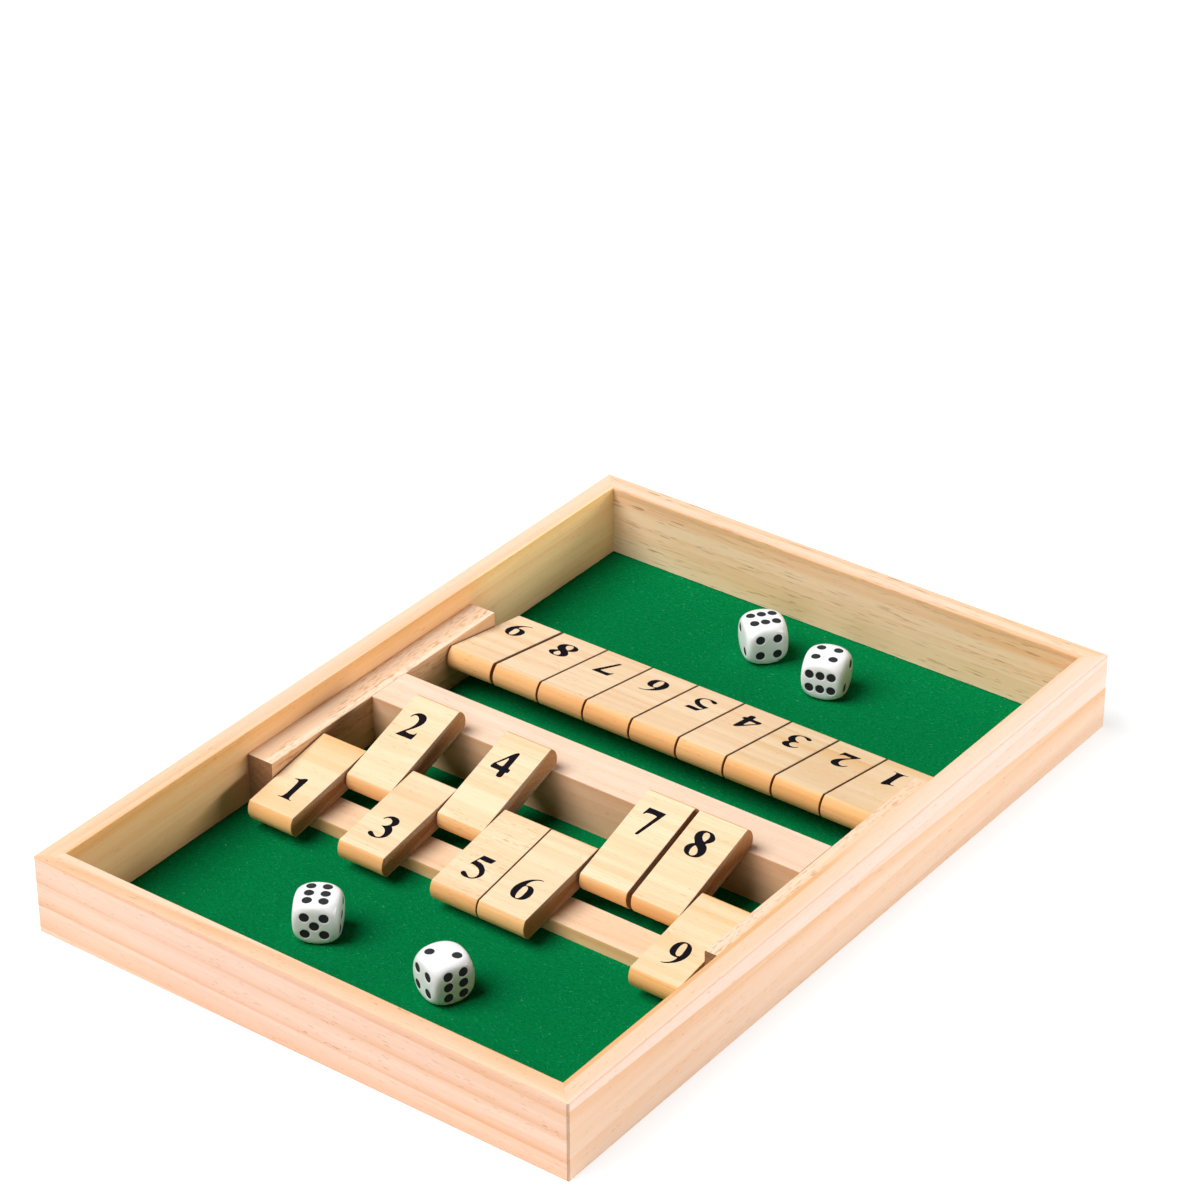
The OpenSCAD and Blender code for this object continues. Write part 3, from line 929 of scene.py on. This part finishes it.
# Green felt over the whole floor, its top worn a little uneven
felt = {
    "step": 1.3 * mm,
    "dip": 0.12 * mm,         # how deep the unevenness goes
    "swell": 9 * mm,          # how long its waves are
    "waveCount": 24,
    "seed": 5,
    "green": (0.001, 0.190, 0.050),
    "bright": (0.001, 0.205, 0.057),
    "pile": (0.001, 0.110, 0.026),
    "hair": (0.02, 0.38, 0.17),
    "speck": (0.22, 0.40, 0.14),
    "cloudWaves": (55, 55, 55),
    "pileWaves": (900, 900, 900),
    "hairWaves": (420, 2100, 2100),
    "hairTurns": (0.05, 0.6, -0.7),
    "speckWaves": (1000, 1000, 1000),
    "depth": 0.25 * mm,
}


# The unevenness is a sum of waves in random directions, from a quarter of the swell to five
# quarters long, squeezed between 0 and 1
def feltDip(x, y):
    chance = np.random.default_rng(felt["seed"])
    total = np.zeros_like(x)
    for turn, wave, start in zip(*chance.uniform(0, 1, (3, felt["waveCount"]))):
        angle, rate = turn * 2 * math.pi, 2 * math.pi / (felt["swell"] * (0.25 + wave))
        total += np.sin(rate * (x * math.cos(angle) + y * math.sin(angle)) + start * 2 * math.pi)
    return 1 / (1 + np.exp(-total / 3))


# A closed slab: a top grid that dips from the CAD height, the same grid flat below it, and
# a strip round the rim between the two
def feltSkin(low, high):
    across = np.linspace(low.x, high.x, round((high.x - low.x) / felt["step"]))
    along = np.linspace(low.y, high.y, round((high.y - low.y) / felt["step"]))
    x, y = np.meshgrid(across, along, indexing="ij")
    top = np.stack([x, y, high.z - felt["dip"] * feltDip(x, y)], -1).reshape(-1, 3)
    bottom = np.stack([x, y, np.full_like(x, low.z)], -1).reshape(-1, 3)
    rows, columns = x.shape
    upper = gridFaces(rows, columns)[:, ::-1]
    index = np.arange(rows * columns).reshape(rows, columns)
    rim = np.concatenate([index[0, :], index[1:, -1], index[-1, -2::-1], index[-2:0:-1, 0]])
    ahead = np.roll(rim, -1)
    below = len(top)
    sides = np.stack([rim, ahead, ahead + below, rim + below], 1)
    return np.concatenate([top, bottom]), np.concatenate([upper, sides, upper[:, ::-1] + below])


def feltGreen():
    finish = Finish("green_felt", {"Specular IOR Level": 0.0})
    place = finish.node("ShaderNodeTexCoord", {}, {}, (3,))
    cloud = finish.noise(place, felt["cloudWaves"], 3.0)
    pile = finish.noise(place, felt["pileWaves"], 3.0, 0.7)
    colour = finish.mix(cloud, felt["green"], felt["bright"])
    colour = finish.mix(0.6 * finish.fade(pile, 0.35, 0.75), colour, felt["pile"])
    hairs = 0.0
    for angle in felt["hairTurns"]:
        way = finish.node("ShaderNodeMapping", {}, {"Vector": place, "Rotation": (0, 0, angle)})
        hairs = hairs + finish.noise(way, felt["hairWaves"], 1.0, between=(0.62, 0.74))
    speck = finish.noise(place, felt["speckWaves"], 0.0, between=(0.84, 0.90))
    colour = finish.mix(0.5 * hairs, colour, felt["hair"])
    colour = finish.mix(0.45 * speck, colour, felt["speck"])
    return finish.give(colour, 0.95, pile + 0.6 * hairs, felt["depth"])


def layFelt():
    low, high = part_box("felt_lining")
    corners, faces = feltSkin(low, high)
    piece = makePiece("green_felt", corners, faces, feltGreen(), {})
    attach(piece, "tray")
    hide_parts("felt_lining")


layFelt()
print("felt laid")


# A soft key from the upper left, low fills from the right and the front, an even white world
# and a white table that keeps the game's shadow. The world and table show as plain white.
# Every lamp looks at the tray's middle, and a sun's place only says where it shines from
light = {
    "lamps": {
        "upper_left": {"place": (-0.96, -1.02, 1.98), "power": 3.8, "angle": 45.0},
        "low_right": {"place": (2.10, 0.70, 0.32), "power": 33.0, "size": (1.6, 0.4)},
        "low_front": {"place": (0.50, -2.20, 0.66), "power": 9.0, "size": (1.2, 1.0)},
    },
    "world": 0.03,
    "table": 0.80,
    "tableHalf": 4,           # metres from the table's middle to its edges
    "shown": 1.15,            # the table's white as the camera sees it
    "glow": 0.75,             # how much of that no shadow reaches
}


# 1 for what the camera sees, straight or in a mirror or through glass
def seen(tree):
    path = tree.nodes.new("ShaderNodeLightPath")
    total = path.outputs["Is Camera Ray"]
    for name in ("Is Glossy Ray", "Is Transmission Ray"):
        joined = tree.nodes.new("ShaderNodeMath")
        joined.operation = "MAXIMUM"
        tree.links.new(total, joined.inputs[0])
        tree.links.new(path.outputs[name], joined.inputs[1])
        total = joined.outputs[0]
    return total


# Lights evenly, and shows as full white
def whiteWorld():
    world = bpy.data.worlds.new("white")
    world.use_nodes = True
    bpy.context.scene.world = world
    tree = world.node_tree
    even = tree.nodes["Background"]
    even.inputs["Color"].default_value = (1, 1, 1, 1)
    even.inputs["Strength"].default_value = light["world"]
    plain = tree.nodes.new("ShaderNodeBackground")
    plain.inputs["Color"].default_value = (1, 1, 1, 1)
    plain.inputs["Strength"].default_value = 1.0
    either = tree.nodes.new("ShaderNodeMixShader")
    tree.links.new(seen(tree), either.inputs[0])
    tree.links.new(even.outputs[0], either.inputs[1])
    tree.links.new(plain.outputs[0], either.inputs[2])
    tree.links.new(either.outputs[0], tree.nodes["World Output"].inputs["Surface"])


# Reflects like white card. What the camera sees is part shaded and part glowing, so that it
# is plain white with a faint shadow
def whiteTable():
    square = [(-1, -1, 0), (1, -1, 0), (1, 1, 0), (-1, 1, 0)]
    corners = np.array(square, float) * light["tableHalf"]
    material = bpy.data.materials.new("white_table")
    material.use_nodes = True
    tree = material.node_tree
    matt = tree.nodes["Principled BSDF"]
    matt.inputs["Base Color"].default_value = (light["table"],) * 3 + (1,)
    matt.inputs["Roughness"].default_value = 1.0
    matt.inputs["Specular IOR Level"].default_value = 0.0
    shaded = tree.nodes.new("ShaderNodeBsdfDiffuse")
    shaded.inputs["Color"].default_value = (light["shown"] - light["glow"],) * 3 + (1,)
    glow = tree.nodes.new("ShaderNodeEmission")
    glow.inputs["Strength"].default_value = light["glow"]
    both = tree.nodes.new("ShaderNodeAddShader")
    tree.links.new(shaded.outputs[0], both.inputs[0])
    tree.links.new(glow.outputs[0], both.inputs[1])
    either = tree.nodes.new("ShaderNodeMixShader")
    tree.links.new(seen(tree), either.inputs[0])
    tree.links.new(matt.outputs[0], either.inputs[1])
    tree.links.new(both.outputs[0], either.inputs[2])
    tree.links.new(either.outputs[0], tree.nodes["Material Output"].inputs["Surface"])
    makePiece("table", corners, np.array([[0, 1, 2, 3]]), material, {})


def hangLamps():
    for name, settings in light["lamps"].items():
        lamp = bpy.data.lights.new(name, "SUN" if "angle" in settings else "AREA")
        lamp.energy = settings["power"]
        if "angle" in settings:
            lamp.angle = math.radians(settings["angle"])
        else:
            lamp.shape = "RECTANGLE"
            lamp.size, lamp.size_y = settings["size"]
        holder = bpy.data.objects.new(name, lamp)
        holder.location = settings["place"]
        holder.rotation_mode = "QUATERNION"
        holder.rotation_quaternion = (-Vector(settings["place"])).to_track_quat("-Z", "Y")
        holder.visible_camera = False
        bpy.context.scene.collection.objects.link(holder)


whiteWorld()
whiteTable()
hangLamps()
bpy.context.scene.view_settings.view_transform = "Standard"
print("lights placed")
